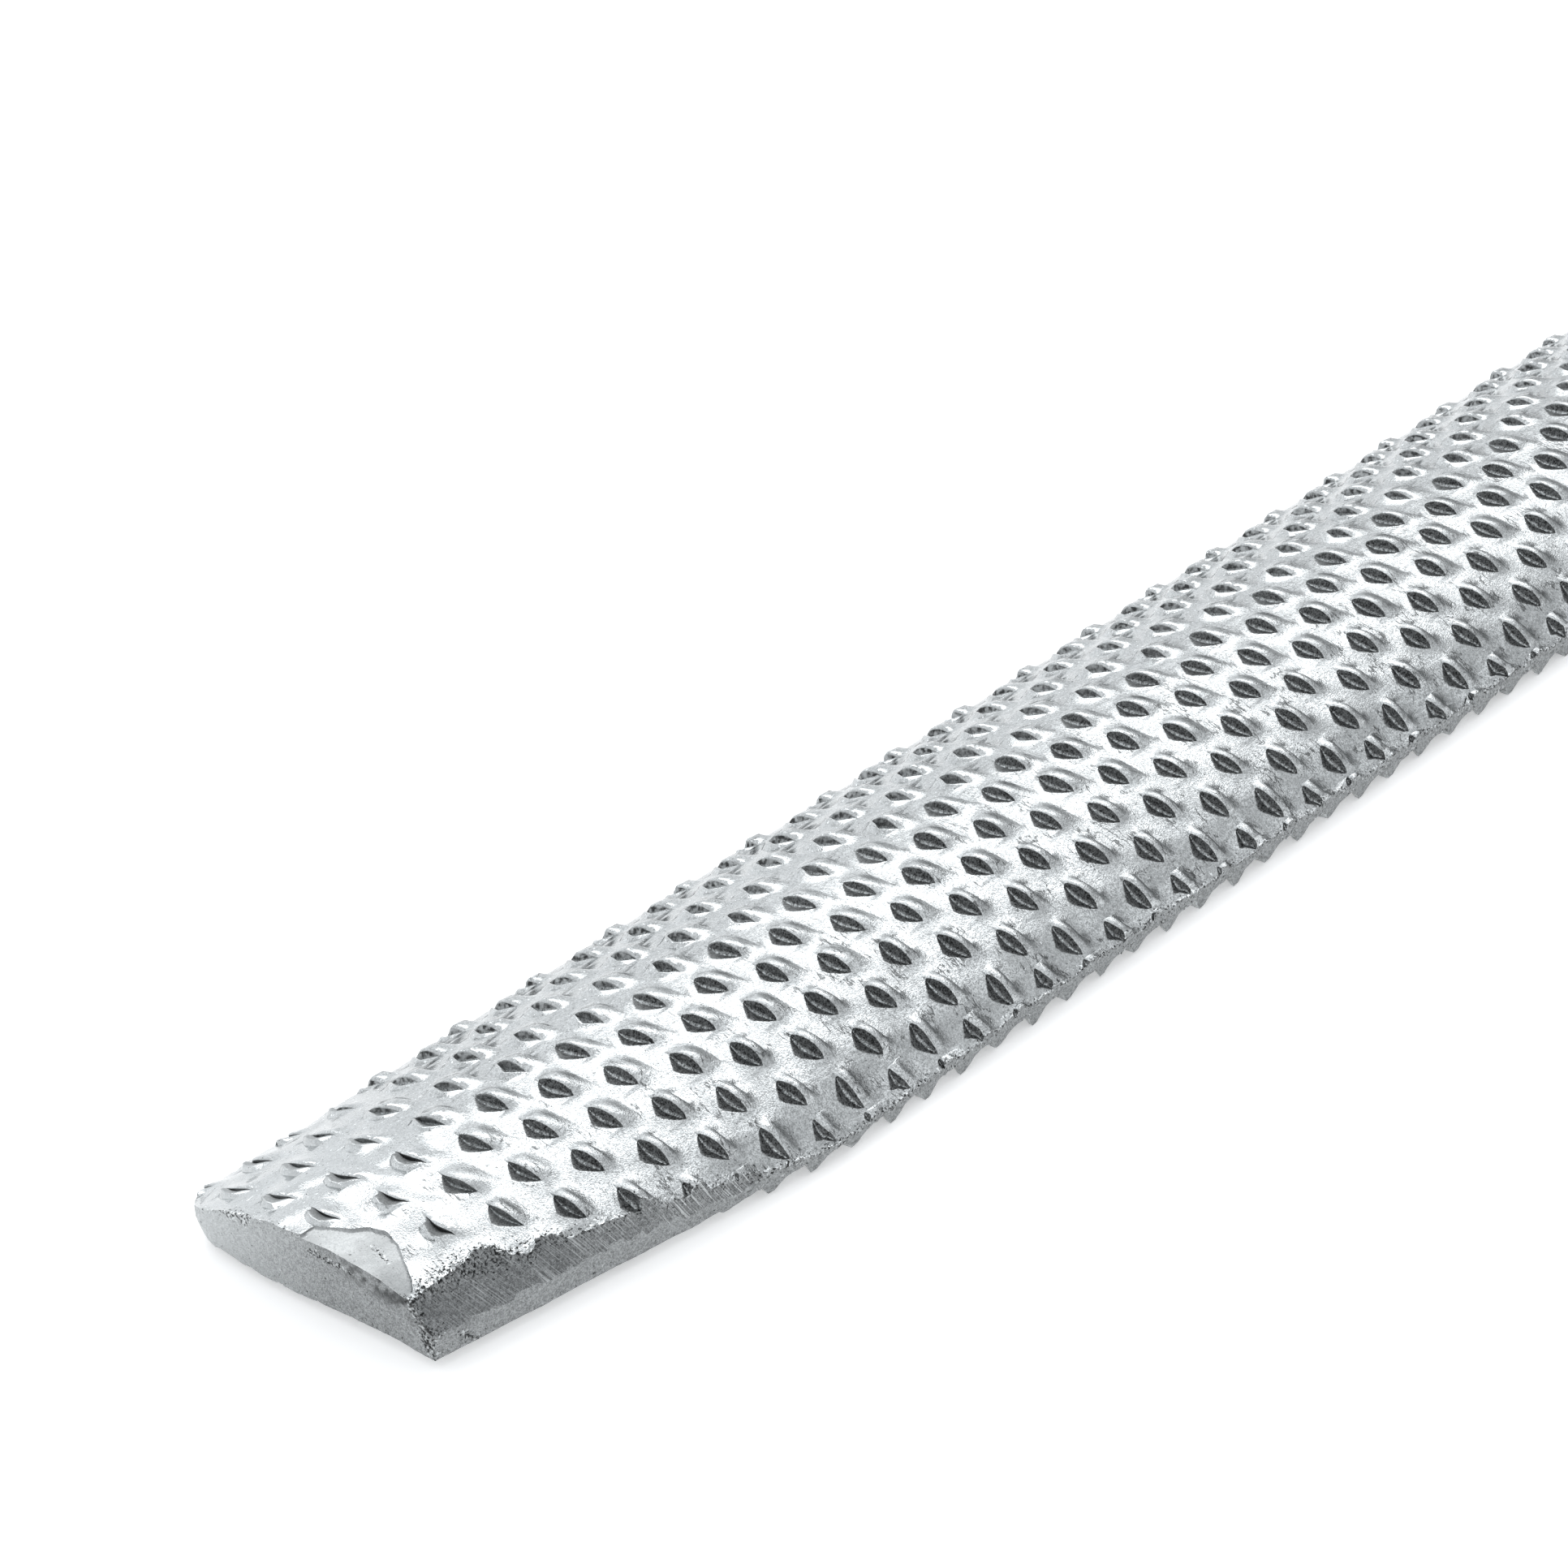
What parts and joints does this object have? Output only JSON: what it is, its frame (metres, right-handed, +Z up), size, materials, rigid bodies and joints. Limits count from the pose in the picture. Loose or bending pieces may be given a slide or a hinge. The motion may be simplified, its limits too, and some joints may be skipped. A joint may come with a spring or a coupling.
{
  "type": "cabinet rasp",
  "caption": "Half-round cabinet rasp with punched teeth on both faces, a ground-back edge at its point, a bare heel and a tapered tang.",
  "frame": {"origin": "middle of the rasp's bounding box, on the surface that it lies on", "axes": "+X from the point along the blade to the end of the tang, +Z up from the flat face through the crown of the half-round face"},
  "size_m": [0.2698, 0.0228, 0.0061],
  "materials": {
    "blade_steel": "pickled and blasted bright grey, grainy, dark inside the punched pits, fine grinding lines on the ground facet"
  },
  "bodies": {
    "root": {"rasp": "blade_steel"}
  },
  "joints": []
}
